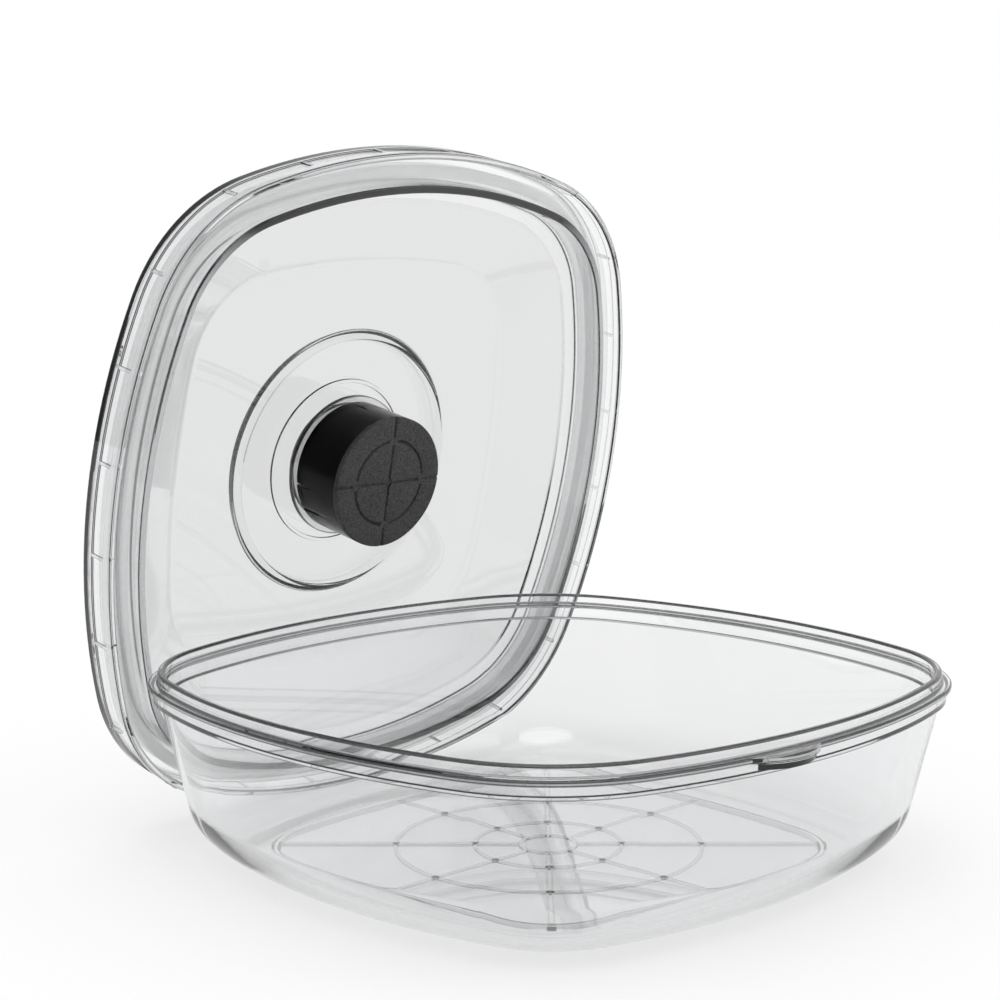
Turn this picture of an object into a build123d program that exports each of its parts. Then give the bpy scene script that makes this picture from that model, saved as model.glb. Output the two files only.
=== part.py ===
from build123d import *
import math
import os

# Vacuum food storage container: a clear rounded-square bowl, and its clear lid with a hand pump.
# Millimetres, +Z up. The bowl is drawn round its own middle, standing on z = 0.
# The lid is drawn closed, with +Z out of its top and z = 0 at the edge of its skirt,
# and is then set down as it stands: off the bowl, leaning over the bowl's back edge.
# Last, everything is moved so that the origin is on the table under the middle of the whole.

# Plan shape shared by the bowl and the lid: four bulging sides joined by rounder corners
bowl_half_width = 125.0
side_radius = 240.0
corner_radius = 62.5

# Bowl
base_plate_height = 2.2
bowl_wall = 3.0
wall_draft_deg = 13.7
wall_inset = 2.1
bottom_curve_radius = 26.0
flange_top_height = 64.1
flange_thickness = 1.8
flange_band_inset = 1.7
flange_band_height = 4.7
lip_inset = 3.3
lip_thickness = 2.5
lip_height = 3.9
lip_round = 0.6
ledge_drop = 5.8

# Thumb tab of the bowl, off the middle of the front side
tab_centre_x = -21.5
tab_half_width = 16.5
tab_reach = 5.4
tab_thickness = 1.8
tab_rib_width = 1.3
tab_rib_depth = 2.2
tab_rib_gap = 1.2

# Rib pattern under the bowl
base_circle_radii = [54.1, 27.3, 10.8]
base_rib_width = 1.2
base_rib_depth = 0.9
spoke_width = 2.4
stand_inset = 6.8
stand_side_radius = 330.0
stand_corner_radius = 30.0
stand_width = 1.8
stud_radius = 1.5
corner_pad_width = 3.0

# Lid shell, fitted round the bowl's lip with room for the gasket inside it
skirt_gap = 0.4
gasket_room = 6.4
lid_height = 16.5
lid_plate = 3.0
skirt_wall = 2.5
skirt_edge_round = 0.8
grip_bead_height = 4.4
grip_band_height = 10.9
grip_band_depth = 0.7
grip_rib_width = 1.2
grip_rib_spacing = 33.0
grip_ribs_per_side = 6
plug_wall = 2.9
plug_reach = 0.7
dome_foot_overlap = 0.7
shoulder_width = 31.1
dome_height = 29.0
panel_side_radius = 330.0
panel_corner_radius = 38.0
panel_edge_round = 5.0
plateau_radius = 51.5
plateau_height = 33.7
plateau_wall = 3.0
plateau_edge_round = 1.6
ceiling_ring_radius = 31.0
ceiling_ring_width = 1.4
ceiling_ring_depth = 0.8

# Boss of the lid, and the pump barrel that snaps on it
barrel_radius = 25.2
barrel_wall = 1.8
barrel_top = 23.8
barrel_edge_round = 0.6
boss_gap = 0.2
boss_wall = 2.6
boss_depth = 4.0
boss_flange_radius = 27.5
boss_flange_thickness = 2.0
barrel_seal_size = 0.9
tongue_count = 3
tongue_angle_deg = -83.5
tongue_half_angle_deg = 12.5
tongue_length = 9.1
slit_width = 1.0

# End cap of the barrel
cap_thickness = 2.4
cap_chamfer = 0.5
cap_spigot_height = 2.0
cap_spigot_wall = 1.4
groove_width = 1.2
groove_depth = 0.8
groove_ring_radius = 16.3
groove_ring_break_deg = 9.0
groove_land = 1.4
intake_hole_radius = 1.6
filter_radius = 5.8
filter_thickness = 1.1
filter_depth = 1.5
intake_flap_radius = 7.4
flap_thickness = 0.7

# Piston and rod
piston_gap = 0.4
piston_height = 4.8
piston_thickness = 4.0
seal_groove_depth = 1.6
seal_height = 1.8
seal_gap = 0.05
rod_radius = 5.0
rod_bore_radius = 1.7
rod_gap = 0.06
air_hole_radius = 1.2
air_hole_circle_radius = 9.0
air_hole_count = 6
outlet_flap_radius = 12.0
screw_head_radius = 3.4
screw_head_height = 1.3
screw_length = 13.0

# Guide collar, wiper and return spring
collar_gap = 0.15
collar_floor = 2.5
collar_tube_wall = 2.4
collar_tube_height = 3.2
wiper_height = 1.2
wiper_width = 1.2
spring_radius = 10.2
spring_wire = 0.9
spring_turns = 3
spring_clearance = 0.1

# Knob of the pump, stowed flush in the plateau
knob_radius = 14.0
knob_gap = 0.4
knob_height = 5.8
knob_wall = 2.0
knob_edge_round = 1.0
knob_dish_radius = 60.0
knob_dish_depth = 0.9
knob_socket_wall = 2.2

# Release valve beside the pump
release_offset = 37.0
release_stem_radius = 2.6
release_gap = 0.1
release_head_radius = 6.4
release_head_height = 1.5
release_barb_radius = 3.8
release_barb_height = 1.3
release_travel = 3.0
release_stop_gap = 0.3
release_knob_wall = 1.2
release_knob_height = 4.2
release_knob_grooves = 12
release_groove_radius = 0.7

# Gasket in the channel between skirt and plug wall
gasket_base_gap = 0.2
gasket_base_height = 2.4
gasket_leg = 1.8
gasket_leg_end = 1.6
gasket_fin = 0.9
gasket_fin_spacing = 3.4
gasket_lip_squeeze = 0.1

# How the lid stands, off the bowl
lean_deg = 11.1
lean_gap = 0.15
lid_shift_x = 8.0

overrun = 5.0


def corner_centre(half, side, corner):
    offset = half - side
    return (offset + math.sqrt(2 * (side - corner) ** 2 - offset ** 2)) / 2


def outline_edges(half, side, corner, height=0.0):
    """Eight tangent arcs, starting at the middle of the +X side."""
    offset = half - side
    centre = corner_centre(half, side, corner)
    reach = math.degrees(math.atan2(centre, centre - offset))
    edges = []
    for quarter in range(4):
        turn = 90 * quarter
        side_plane = Plane(Vector(offset, 0, height).rotate(Axis.Z, turn))
        corner_plane = Plane(Vector(centre, centre, height).rotate(Axis.Z, turn))
        far_plane = Plane(Vector(offset, 0, height).rotate(Axis.Z, turn + 90))
        edges.append(Edge.make_circle(side, side_plane, turn, turn + reach))
        edges.append(Edge.make_circle(corner, corner_plane, turn + reach, turn + 90 - reach))
        edges.append(Edge.make_circle(side, far_plane, turn + 90 - reach, turn + 90))
    return edges


def parallel_outline(half, height=0.0):
    """The shared plan shape, moved in or out so that it stays parallel to the bowl's flange."""
    shift = half - bowl_half_width
    return outline_edges(half, side_radius + shift, corner_radius + shift, height)


def outline_face(edges):
    return Face(Wire(edges))


def plan_block(half, low, high):
    return extrude(outline_face(parallel_outline(half, low)), high - low)


def section_face(points):
    """A closed section in the XZ plane, from (half width or radius, height) points."""
    corners = [Vector(x, 0, z) for x, z in points]
    return Face(Wire.make_polygon(corners, close=True))


def run_round(section, half):
    """Carries a section round the plan outline."""
    return sweep(section, path=Wire(parallel_outline(half)))


def disc(radius, low, high, x=0.0, y=0.0):
    return Pos(x, y, low) * Cylinder(radius, high - low, align=(Align.CENTER, Align.CENTER, Align.MIN))


def tube(outer, inner, low, high, x=0.0, y=0.0):
    return disc(outer, low, high, x, y) - disc(inner, low - overrun, high + overrun, x, y)


def plan_point(half, offset):
    """Distance of the plan outline from the middle line, at an offset along the side."""
    shift = half - bowl_half_width
    side = side_radius + shift
    corner = corner_radius + shift
    centre = corner_centre(half, side, corner)
    side_end = side * centre / math.hypot(centre, centre - half + side)
    if abs(offset) <= side_end:
        return half - side + math.sqrt(side ** 2 - offset ** 2)
    return centre + math.sqrt(corner ** 2 - (abs(offset) - centre) ** 2)


# Bowl: one wall section run round the outline, with the base plate let into it
wall_slope = math.tan(math.radians(wall_draft_deg))
wall_across = bowl_wall / math.cos(math.radians(wall_draft_deg))
inner_curve_radius = bottom_curve_radius - bowl_wall
band_half_width = bowl_half_width - flange_band_inset
band_bottom = flange_top_height - flange_thickness - flange_band_height
wall_foot_half_width = band_half_width - wall_inset - (band_bottom - base_plate_height) * wall_slope
curve_setback = bottom_curve_radius * math.tan(math.radians((90 - wall_draft_deg) / 2))
floor_half_width = wall_foot_half_width - curve_setback
curve_centre_height = base_plate_height + bottom_curve_radius
inner_floor_height = base_plate_height + bowl_wall
lip_outer = bowl_half_width - lip_inset
lip_inner = lip_outer - lip_thickness
lip_top = flange_top_height + lip_height
ledge_height = flange_top_height - ledge_drop


def wall_at(height, inside=0.0):
    """Half width of the drafted wall at a height."""
    return wall_foot_half_width + (height - base_plate_height) * wall_slope - inside


def bowl_curve_point(radius, turn_deg):
    """A point of the curve between floor and wall, from straight down round to the wall."""
    turn = math.radians(turn_deg)
    return Vector(floor_half_width + radius * math.sin(turn), 0, curve_centre_height - radius * math.cos(turn))


curve_end_deg = 90 - wall_draft_deg
outer_start = bowl_curve_point(bottom_curve_radius, 0)
outer_end = bowl_curve_point(bottom_curve_radius, curve_end_deg)
inner_start = bowl_curve_point(inner_curve_radius, 0)
inner_end = bowl_curve_point(inner_curve_radius, curve_end_deg)
outer_curve = Edge.make_three_point_arc(
    outer_start, bowl_curve_point(bottom_curve_radius, curve_end_deg / 2), outer_end)
inner_curve = Edge.make_three_point_arc(
    inner_start, bowl_curve_point(inner_curve_radius, curve_end_deg / 2), inner_end)
rim_points = [
    (wall_at(band_bottom), band_bottom),
    (band_half_width, band_bottom),
    (band_half_width, flange_top_height - flange_thickness),
    (bowl_half_width, flange_top_height - flange_thickness),
    (bowl_half_width, flange_top_height),
    (lip_outer, flange_top_height),
    (lip_outer, lip_top - lip_round),
    (lip_outer - lip_round, lip_top),
    (lip_inner + lip_round, lip_top),
    (lip_inner, lip_top - lip_round),
    (lip_inner, ledge_height),
    (wall_at(ledge_height, wall_across), ledge_height),
]
rim_corners = [outer_end] + [Vector(x, 0, z) for x, z in rim_points] + [inner_end]
rim_edges = [Edge.make_line(a, b) for a, b in zip(rim_corners, rim_corners[1:])]
floor_edge = Edge.make_line(inner_start, outer_start)
bowl_section = Face(Wire([outer_curve] + rim_edges + [inner_curve, floor_edge]))
bowl = run_round(bowl_section, floor_half_width)
bowl += plan_block(floor_half_width, base_plate_height, inner_floor_height)

# Thumb tab: a half-round tongue level with the flange, with two grip ribs under it
flange_y = -plan_point(bowl_half_width, tab_centre_x)
tab_root_y = flange_y + overrun / 2
tab_chord = tab_root_y - (flange_y - tab_reach)
tab_radius = (tab_half_width ** 2 + tab_chord ** 2) / (2 * tab_chord)
tab_centre_y = flange_y - tab_reach + tab_radius
tab_top = flange_top_height
tab_keep = Box(4 * tab_half_width, bowl_half_width, 4 * flange_top_height)
tab_side = Pos(tab_centre_x, tab_root_y - bowl_half_width / 2, 0) * tab_keep
tab = disc(tab_radius, tab_top - tab_thickness, tab_top, tab_centre_x, tab_centre_y) & tab_side
bowl += tab
for number in range(2):
    rib_outer = tab_radius - tab_rib_gap - number * (tab_rib_width + tab_rib_gap)
    rib = tube(rib_outer, rib_outer - tab_rib_width, tab_top - tab_thickness - tab_rib_depth,
               tab_top - tab_thickness, tab_centre_x, tab_centre_y)
    bowl += rib & tab_side

# Rib pattern under the base: circles, spokes, the standing ring, studs at the crossings
rib_bottom = base_plate_height - base_rib_depth
stand_half_width = floor_half_width - stand_inset
stand = extrude(outline_face(outline_edges(stand_half_width, stand_side_radius, stand_corner_radius)),
                base_plate_height)
stand -= extrude(outline_face(outline_edges(stand_half_width - stand_width, stand_side_radius - stand_width,
                                            stand_corner_radius - stand_width)), base_plate_height)
stand_corner = corner_centre(stand_half_width, stand_side_radius, stand_corner_radius)
stand_corner_reach = stand_corner * math.sqrt(2) + stand_corner_radius
base_ribs = [tube(radius, radius - base_rib_width, rib_bottom, base_plate_height) for radius in base_circle_radii]
studs = []
for number in range(8):
    turn = 45 * number
    to_corner = number % 2 == 1
    spoke_end = stand_corner_reach if to_corner else stand_half_width
    spoke_end -= stand_width / 2
    width = spoke_width if to_corner else base_rib_width
    length = spoke_end - base_circle_radii[2] + base_rib_width / 2
    spoke = Pos(spoke_end - length / 2, 0, (rib_bottom + base_plate_height) / 2) * Box(length, width, base_rib_depth)
    base_ribs.append(Rot(0, 0, turn) * spoke)
    for radius in base_circle_radii[:2]:
        stud = disc(stud_radius, rib_bottom, base_plate_height, radius - base_rib_width / 2, 0)
        studs.append(Rot(0, 0, turn) * stud)
    if to_corner:
        pad = Pos(stand_corner_reach - stand_width / 2, 0, base_plate_height / 2) * Box(
            corner_pad_width, corner_pad_width, base_plate_height)
        base_ribs.append(Rot(0, 0, turn) * pad)
for piece in [stand] + base_ribs + studs:
    bowl += piece

# Lid shell: skirt, plate and plug wall as one section run round the outline
skirt_inner = lip_outer + skirt_gap
lid_half_width = skirt_inner + skirt_wall
band_half = lid_half_width - grip_band_depth
plate_bottom = lid_height - lid_plate
plug_half_width = lip_inner - gasket_room
plug_inner = plug_half_width - plug_wall
dome_foot_half_width = plug_inner + dome_foot_overlap
panel_half_width = dome_foot_half_width - shoulder_width
dome_slope = (dome_foot_half_width - panel_half_width) / (dome_height - plate_bottom)
plate_inner = dome_foot_half_width - dome_slope * lid_plate - skirt_edge_round
rim_section = section_face([
    (plate_inner, plate_bottom),
    (plug_inner, plate_bottom),
    (plug_inner, -plug_reach + skirt_edge_round),
    (plug_inner + skirt_edge_round, -plug_reach),
    (plug_half_width - skirt_edge_round, -plug_reach),
    (plug_half_width, -plug_reach + skirt_edge_round),
    (plug_half_width, plate_bottom),
    (skirt_inner, plate_bottom),
    (skirt_inner, skirt_edge_round),
    (skirt_inner + skirt_edge_round, 0),
    (lid_half_width - skirt_edge_round, 0),
    (lid_half_width, skirt_edge_round),
    (lid_half_width, grip_bead_height),
    (band_half, grip_bead_height),
    (band_half, grip_band_height),
    (lid_half_width, grip_band_height),
    (lid_half_width, lid_height - skirt_edge_round),
    (lid_half_width - skirt_edge_round, lid_height),
    (plate_inner, lid_height),
])
lid = run_round(rim_section, lid_half_width)


def dome_block(drop):
    """The dome's shoulder and panel as a solid, lowered by drop."""
    foot = outline_face(parallel_outline(dome_foot_half_width, plate_bottom - drop))
    panel = outline_face(outline_edges(panel_half_width, panel_side_radius, panel_corner_radius,
                                       dome_height - drop))
    block = loft([foot, panel], ruled=True)
    top_edges = block.faces().sort_by(Axis.Z)[-1].edges()
    return fillet(top_edges, panel_edge_round)


inside_cut = plan_block(dome_foot_half_width + overrun, plate_bottom - lid_plate - overrun, plate_bottom)
lid += dome_block(0) - dome_block(lid_plate) - inside_cut

# Round plateau in the middle of the panel, hollow from below
plateau = disc(plateau_radius, dome_height - lid_plate, plateau_height)
plateau = fillet(plateau.edges().filter_by(GeomType.CIRCLE).sort_by(Axis.Z)[-1], plateau_edge_round)
plateau_ceiling = plateau_height - plateau_wall
lid += plateau
lid -= disc(plateau_radius - plateau_wall, 0, plateau_ceiling)
lid += tube(ceiling_ring_radius + ceiling_ring_width, ceiling_ring_radius,
            plateau_ceiling - ceiling_ring_depth, plateau_ceiling)

# Boss for the barrel, with the flange that the barrel's end meets
barrel_bore = barrel_radius - barrel_wall
boss_radius = barrel_bore - boss_gap
boss_bore = boss_radius - boss_wall
boss_bottom = barrel_top - boss_depth
seal_middle = barrel_radius - barrel_wall / 2
seal_channel = barrel_seal_size / 2 + boss_gap / 2
lid += tube(boss_radius, boss_bore, boss_bottom, plateau_ceiling)
boss_flange = tube(boss_flange_radius, boss_bore, barrel_top, barrel_top + boss_flange_thickness)
boss_flange -= tube(seal_middle + seal_channel, seal_middle - seal_channel,
                    barrel_top - overrun, barrel_top + 2 * seal_channel)
lid += boss_flange
lid -= disc(knob_radius + knob_gap, plateau_ceiling - overrun, plateau_height + overrun)
lid -= disc(release_stem_radius + release_gap, plateau_ceiling - overrun, plateau_height + overrun,
            release_offset, 0)

# Small upright ribs in the skirt's grip band, the same on each side
for quarter in range(4):
    for number in range(grip_ribs_per_side):
        along = (number - (grip_ribs_per_side - 1) / 2) * grip_rib_spacing
        face_at = plan_point(lid_half_width, along)
        rib = Pos(face_at - grip_band_depth - skirt_wall / 4, along, (grip_bead_height + grip_band_height) / 2) * Box(
            2 * grip_band_depth, grip_rib_width, grip_band_height - grip_bead_height)
        lid += Rot(0, 0, 90 * quarter) * rib

# Gasket: a silicone ring on the plug wall, with two fins that press on the inside of the bowl's lip
fin_tip = lip_inner - gasket_lip_squeeze
leg_outer = plug_half_width + gasket_leg
fin_rise = gasket_fin * 2
gasket_base_half_width = lip_inner - gasket_base_gap
gasket_points = [
    (plug_half_width, plate_bottom),
    (gasket_base_half_width, plate_bottom),
    (gasket_base_half_width, plate_bottom - gasket_base_height),
    (leg_outer, plate_bottom - gasket_base_height),
]
for number in range(2):
    fin_height = gasket_leg_end + gasket_fin + (1 - number) * gasket_fin_spacing
    gasket_points += [
        (leg_outer, fin_height + gasket_fin),
        (fin_tip, fin_height + fin_rise),
        (fin_tip, fin_height + fin_rise - gasket_fin),
        (leg_outer, fin_height),
    ]
gasket_points += [(leg_outer, gasket_leg_end), (plug_half_width, gasket_leg_end)]
lid_gasket = run_round(section_face(gasket_points), plug_half_width)

# Pump barrel, with slits that free its snap tongues
pump_barrel = tube(barrel_radius, barrel_bore, cap_thickness, barrel_top)
slit_reach = math.degrees(slit_width / barrel_radius)
for number in range(tongue_count):
    middle = tongue_angle_deg + 360 * number / tongue_count
    for side in (-1, 1):
        slit = Pos(barrel_radius - barrel_wall / 2, 0, barrel_top) * Box(2 * barrel_wall, slit_width, 2 * tongue_length)
        pump_barrel -= Rot(0, 0, middle + side * tongue_half_angle_deg) * slit
        slit_end = Pos(barrel_radius - barrel_wall / 2, 0, barrel_top - tongue_length) * Rot(0, 90, 0) * Cylinder(
            slit_width / 2, 2 * barrel_wall)
        pump_barrel -= Rot(0, 0, middle + side * tongue_half_angle_deg) * slit_end

# Sealing ring between the boss flange and the end of the barrel
barrel_seal = tube(seal_middle + barrel_seal_size / 2, seal_middle - barrel_seal_size / 2,
                   barrel_top, barrel_top + barrel_seal_size)

# Intake cap: grooved face, centre hole, a recess for the filter, and a spigot in the barrel
intake_cap = disc(barrel_radius, 0, cap_thickness)
intake_cap = chamfer(intake_cap.edges().filter_by(GeomType.CIRCLE).sort_by(Axis.Z)[0], cap_chamfer)
spigot_radius = barrel_bore - boss_gap / 2
intake_cap += tube(spigot_radius, spigot_radius - cap_spigot_wall, cap_thickness, cap_thickness + cap_spigot_height)
ring_groove = tube(groove_ring_radius + groove_width / 2, groove_ring_radius - groove_width / 2,
                   -overrun, groove_depth)
for number in range(4):
    land = Box(groove_land * 2 + groove_width, groove_land * 2 + groove_width, 4 * overrun)
    ring_groove -= Rot(0, 0, 90 * number) * Pos(groove_ring_radius, 0, 0) * land
intake_cap -= ring_groove
spoke_lands = [0, groove_ring_radius - groove_land, groove_ring_radius + groove_land, barrel_radius + overrun]
for number in range(4):
    for start, end in (spoke_lands[:2], spoke_lands[2:]):
        spoke = Pos((start + end) / 2, 0, 0) * Box(end - start, groove_width, 2 * groove_depth)
        intake_cap -= Rot(0, 0, 90 * number) * spoke
intake_cap -= disc(intake_hole_radius, -overrun, cap_thickness + overrun)
filter_floor = cap_thickness - filter_depth
intake_cap -= disc(filter_radius + boss_gap / 2, filter_floor, cap_thickness + overrun)
intake_filter = disc(filter_radius, filter_floor, filter_floor + filter_thickness)
intake_valve = disc(intake_flap_radius, cap_thickness, cap_thickness + flap_thickness)

# Piston, its ring, its flap and the screw that holds it on the rod
piston_radius = barrel_bore - piston_gap
piston_top = piston_height + piston_thickness
piston_middle = piston_height + piston_thickness / 2
groove_floor = piston_radius - seal_groove_depth
piston = disc(piston_radius, piston_height, piston_top)
piston -= tube(piston_radius + overrun, groove_floor, piston_middle - seal_height / 2, piston_middle + seal_height / 2)
piston -= disc(rod_bore_radius, piston_height - overrun, piston_top + overrun)
piston -= disc(screw_head_radius, piston_height - overrun, piston_height + screw_head_height)
for number in range(air_hole_count):
    turn = 360 * number / air_hole_count
    hole = disc(air_hole_radius, piston_height - overrun, piston_top + overrun, air_hole_circle_radius, 0)
    piston -= Rot(0, 0, turn) * hole
piston_seal = tube(barrel_bore - seal_gap, groove_floor, piston_middle - seal_height / 2, piston_middle + seal_height / 2)
outlet_valve = tube(outlet_flap_radius, rod_radius + boss_gap / 2, piston_top, piston_top + flap_thickness)
piston_screw = disc(screw_head_radius - boss_gap, piston_height, piston_height + screw_head_height)
piston_screw += disc(rod_bore_radius, piston_height, piston_height + screw_length)

# Rod, and the knob that it carries, flush with the plateau
knob_bottom = plateau_height - knob_height
rod_top = plateau_height - knob_wall
piston_rod = tube(rod_radius, rod_bore_radius, piston_top, rod_top)
pump_knob = disc(knob_radius, knob_bottom, plateau_height)
pump_knob = fillet(pump_knob.edges().filter_by(GeomType.CIRCLE).sort_by(Axis.Z)[-1], knob_edge_round)
pump_knob -= disc(knob_radius - knob_wall, knob_bottom - overrun, plateau_height - knob_wall)
pump_knob += tube(rod_radius + knob_socket_wall, rod_radius, knob_bottom, plateau_height - knob_wall)
pump_knob += tube(knob_radius - knob_wall / 2, spring_radius - spring_wire, knob_bottom, knob_bottom + flap_thickness)
pump_knob -= Pos(0, 0, plateau_height - knob_dish_depth + knob_dish_radius) * Sphere(knob_dish_radius)

# Guide collar in the boss, its wiper ring, and the coil spring on it
collar_bottom = boss_bottom
collar_top = collar_bottom + collar_floor
guide_collar = tube(boss_bore - collar_gap, rod_radius + rod_gap, collar_bottom, collar_top)
guide_collar += tube(rod_radius + rod_gap + collar_tube_wall, rod_radius + rod_gap, collar_top,
                     collar_top + collar_tube_height)
wiper_bottom = collar_bottom + (collar_floor - wiper_height) / 2
guide_collar -= tube(rod_radius + rod_gap + wiper_width, 0.5 * rod_radius, wiper_bottom, wiper_bottom + wiper_height)
collar_wiper = tube(rod_radius + rod_gap + wiper_width, rod_radius + rod_gap, wiper_bottom, wiper_bottom + wiper_height)
spring_low = collar_top + spring_wire / 2 + spring_clearance
spring_high = knob_bottom - spring_wire / 2 - spring_clearance
spring_pitch = (spring_high - spring_low) / spring_turns
half_turns = []
for number in range(2 * spring_turns):
    side = 1 - 2 * (number % 2)
    low = spring_low + spring_pitch * number / 2
    half_turns.append(Edge.make_three_point_arc(
        Vector(side * spring_radius, 0, low),
        Vector(0, side * spring_radius, low + spring_pitch / 4),
        Vector(-side * spring_radius, 0, low + spring_pitch / 2)))
spring_path = Wire(half_turns)
spring_start = Plane(spring_path @ 0, z_dir=spring_path % 0)
return_spring = sweep(spring_start * Circle(spring_wire / 2), path=spring_path)
print("gap between the spring's turns:", round(spring_pitch - spring_wire, 3))

# Release valve: a silicone plug in the plateau, and the hard knob that lifts it
stem_bottom = plateau_ceiling - release_travel - release_stop_gap
release_plug = disc(release_stem_radius, stem_bottom - release_barb_height, plateau_height, release_offset, 0)
release_plug += disc(release_head_radius, plateau_height, plateau_height + release_head_height, release_offset, 0)
release_plug += Pos(release_offset, 0, stem_bottom - release_barb_height / 2) * Cone(
    release_stem_radius, release_barb_radius, release_barb_height)
knob_low = plateau_height + release_stop_gap
knob_outer = release_head_radius + release_knob_wall
release_knob = disc(knob_outer, knob_low, knob_low + release_knob_height, release_offset, 0)
release_knob = fillet(release_knob.edges().filter_by(GeomType.CIRCLE).sort_by(Axis.Z)[-1], release_knob_wall / 2)
release_knob -= disc(release_head_radius, knob_low - overrun, plateau_height + release_head_height, release_offset, 0)
for number in range(release_knob_grooves):
    turn = math.radians(360 * number / release_knob_grooves)
    release_knob -= disc(release_groove_radius, knob_low - overrun, knob_low + release_knob_height + overrun,
                         release_offset + knob_outer * math.cos(turn), knob_outer * math.sin(turn))

# The lid and all it carries stand on the table behind the bowl, leaning over its back edge.
# The bowl's rim reaches in under the dome, so the lid is brought up until only the lean gap is left.
lid_shift_z = lid_half_width * math.cos(math.radians(lean_deg))
dome_ceiling = dome_height - lid_plate
wall_height_shares = [0.2, 0.4, 0.6, 0.8]
sample_count = 90
sample_shares = [step / sample_count for step in range(sample_count)]
bowl_levels = [
    (bowl_half_width, flange_top_height - flange_thickness),
    (bowl_half_width, flange_top_height),
    (lip_outer, lip_top),
    (band_half_width, band_bottom),
]
for share in wall_height_shares:
    height = bottom_curve_radius + share * (band_bottom - bottom_curve_radius)
    bowl_levels.append((wall_at(height), height))
rim_samples = []
for half, height in bowl_levels:
    for edge in parallel_outline(half, height):
        rim_samples += [edge @ share for share in sample_shares]


def plan_half(x, y):
    """Half width of the parallel plan outline that runs through a point."""
    x, y = abs(x), abs(y)
    offset = bowl_half_width - side_radius
    centre = corner_centre(bowl_half_width, side_radius, corner_radius)
    reach = math.atan2(centre, centre - offset)
    bearing = math.atan2(y - centre, x - centre)
    if reach <= bearing <= math.pi / 2 - reach:
        return bowl_half_width - corner_radius + math.hypot(x - centre, y - centre)
    if x > y:
        return offset + math.hypot(x - offset, y)
    return offset + math.hypot(x, y - offset)


def lid_is_clear(shift):
    """Whether the bowl's rim and walls miss the lid when its middle stands this far back."""
    lean = math.radians(lean_deg)
    for point in rim_samples:
        back = point.Y - shift
        rise = point.Z - lid_shift_z
        half = plan_half(point.X - lid_shift_x, back * math.sin(lean) - rise * math.cos(lean))
        depth = back * math.cos(lean) + rise * math.sin(lean)
        limit = min(dome_ceiling, plate_bottom + (dome_foot_half_width - half) / dome_slope - lid_plate)
        if half > plug_inner - lean_gap:
            limit = -plug_reach
        if half < lid_half_width + lean_gap and depth > limit - lean_gap:
            return False
    return True


near_shift, far_shift = 0, 2 * bowl_half_width
while far_shift - near_shift > lean_gap / bowl_half_width:
    middle_shift = (near_shift + far_shift) / 2
    if lid_is_clear(middle_shift):
        far_shift = middle_shift
    else:
        near_shift = middle_shift
lid_shift_y = far_shift
print("lid stands back by", round(lid_shift_y, 3))
standing = Location((lid_shift_x, lid_shift_y, lid_shift_z), (lean_deg - 90, 0, 0))
lid_pieces = {
    "lid": lid,
    "lid_gasket": lid_gasket,
    "pump_barrel": pump_barrel,
    "barrel_seal": barrel_seal,
    "intake_cap": intake_cap,
    "intake_filter": intake_filter,
    "intake_valve": intake_valve,
    "guide_collar": guide_collar,
    "collar_wiper": collar_wiper,
    "return_spring": return_spring,
    "piston": piston,
    "piston_seal": piston_seal,
    "outlet_valve": outlet_valve,
    "piston_screw": piston_screw,
    "piston_rod": piston_rod,
    "pump_knob": pump_knob,
    "release_plug": release_plug,
    "release_knob": release_knob,
}

pieces = {"bowl": bowl}
for name, piece in lid_pieces.items():
    pieces[name] = standing * piece
boxes = [piece.bounding_box() for piece in pieces.values()]
middle_x = (min(box.min.X for box in boxes) + max(box.max.X for box in boxes)) / 2
middle_y = (min(box.min.Y for box in boxes) + max(box.max.Y for box in boxes)) / 2
recentre = Location((-middle_x, -middle_y, -min(box.min.Z for box in boxes)))

os.makedirs("parts", exist_ok=True)
for name, piece in pieces.items():
    export_step(recentre * piece, f"parts/{name}.step")
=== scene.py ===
import math

import bmesh
import bpy
import numpy as np
from mathutils import Matrix, Vector


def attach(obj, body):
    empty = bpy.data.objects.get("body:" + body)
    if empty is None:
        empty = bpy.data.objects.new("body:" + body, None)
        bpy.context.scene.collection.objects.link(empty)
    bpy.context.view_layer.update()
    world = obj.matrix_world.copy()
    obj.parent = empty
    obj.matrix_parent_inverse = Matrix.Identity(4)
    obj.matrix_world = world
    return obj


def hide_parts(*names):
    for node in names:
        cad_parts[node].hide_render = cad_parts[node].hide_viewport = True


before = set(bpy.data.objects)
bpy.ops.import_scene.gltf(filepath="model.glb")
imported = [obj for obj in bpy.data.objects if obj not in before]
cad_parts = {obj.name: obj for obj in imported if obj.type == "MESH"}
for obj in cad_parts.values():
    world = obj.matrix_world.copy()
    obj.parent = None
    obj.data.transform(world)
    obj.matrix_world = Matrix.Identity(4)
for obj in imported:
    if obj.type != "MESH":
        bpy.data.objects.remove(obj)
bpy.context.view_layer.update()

# Camera, table and light. A long lens looks low over the bowl's front left corner at the lid.
# The table is a plain white sheet that takes a soft shadow, in a pale room with one dim side.
scene = bpy.context.scene
scene.view_settings.view_transform = "Standard"

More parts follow.
